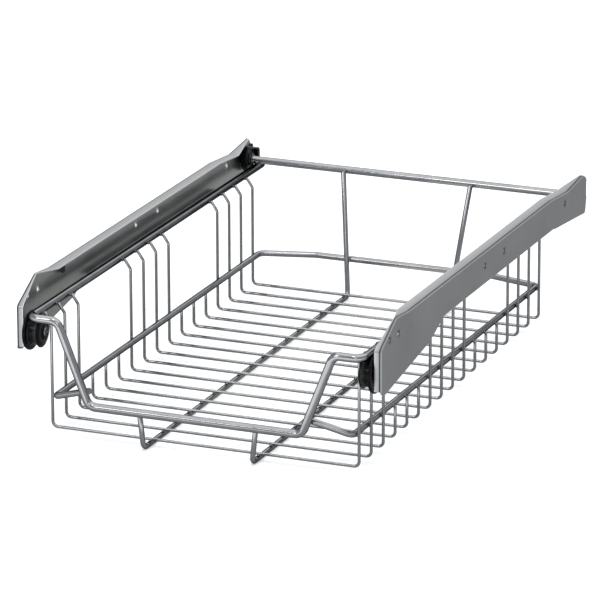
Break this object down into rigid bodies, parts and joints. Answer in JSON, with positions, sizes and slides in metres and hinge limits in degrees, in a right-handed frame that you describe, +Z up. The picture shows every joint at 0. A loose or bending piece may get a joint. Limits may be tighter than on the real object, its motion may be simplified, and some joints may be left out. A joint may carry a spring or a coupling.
{
  "type": "pull out cabinet basket",
  "caption": "Pull-out wire basket with a dipped front wire, sliding on grooved and flat rollers between two pressed steel rails that screw to the sides of a kitchen cabinet.",
  "frame": {"origin": "under the middle of the whole, at the height of the basket's lowest wires", "axes": "+X across the cabinet to the right, +Y to its back along the travel, +Z up"},
  "size_m": [0.364, 0.5656, 0.1467],
  "materials": {
    "rail_steel": "satin zinc-plated sheet",
    "wire_plating": "bright zinc plating",
    "pin_steel": "turned steel",
    "roller_plastic": "glossy black moulding",
    "stop_plastic": "black moulding"
  },
  "bodies": {
    "rails": {"left_rail": "rail_steel", "right_rail": "rail_steel", "left_roller_pin": "pin_steel", "right_roller_pin": "pin_steel", "left_rear_stop": "stop_plastic", "right_rear_stop": "stop_plastic"},
    "basket": {"frame_wire": "wire_plating", "rear_rod": "wire_plating", "left_washer": "pin_steel", "right_washer": "pin_steel", "belt_wire": "wire_plating", "left_base_wire": "wire_plating", "right_base_wire": "wire_plating", "cross_wire_01": "wire_plating", "cross_wire_02": "wire_plating", "cross_wire_03": "wire_plating", "cross_wire_04": "wire_plating", "cross_wire_05": "wire_plating", "cross_wire_06": "wire_plating", "cross_wire_07": "wire_plating", "cross_wire_08": "wire_plating", "cross_wire_09": "wire_plating", "cross_wire_10": "wire_plating", "cross_wire_11": "wire_plating", "cross_wire_12": "wire_plating", "cross_wire_13": "wire_plating", "cross_wire_14": "wire_plating", "cross_wire_15": "wire_plating", "cross_wire_16": "wire_plating", "cross_wire_17": "wire_plating"},
    "left_front_roller_body": {"left_front_roller": "roller_plastic"},
    "right_front_roller_body": {"right_front_roller": "roller_plastic"},
    "left_rear_roller_body": {"left_rear_roller": "roller_plastic"},
    "right_rear_roller_body": {"right_rear_roller": "roller_plastic"}
  },
  "joints": [
    {"name": "basket_slide", "type": "slide", "parent": "rails", "child": "basket", "axis": [0, -1, 0], "range_m": [0, 0.43]},
    {"name": "left_front_roller_turn", "type": "hinge", "parent": "rails", "child": "left_front_roller_body", "pos_m": [-0.166, -0.2612, 0.1], "axis": [1, 0, 0], "continuous": true},
    {"name": "right_front_roller_turn", "type": "hinge", "parent": "rails", "child": "right_front_roller_body", "pos_m": [0.166, -0.2612, 0.1], "axis": [1, 0, 0], "continuous": true},
    {"name": "left_rear_roller_turn", "type": "hinge", "parent": "basket", "child": "left_rear_roller_body", "pos_m": [-0.175, 0.2627, 0.1256], "axis": [1, 0, 0], "continuous": true},
    {"name": "right_rear_roller_turn", "type": "hinge", "parent": "basket", "child": "right_rear_roller_body", "pos_m": [0.175, 0.2627, 0.1256], "axis": [1, 0, 0], "continuous": true}
  ],
  "couplings": [
    {"joint": "left_front_roller_turn", "follows": "basket_slide", "rad_per_m": 73.529},
    {"joint": "right_front_roller_turn", "follows": "basket_slide", "rad_per_m": 73.529},
    {"joint": "left_rear_roller_turn", "follows": "basket_slide", "rad_per_m": 78.74},
    {"joint": "right_rear_roller_turn", "follows": "basket_slide", "rad_per_m": 78.74}
  ]
}
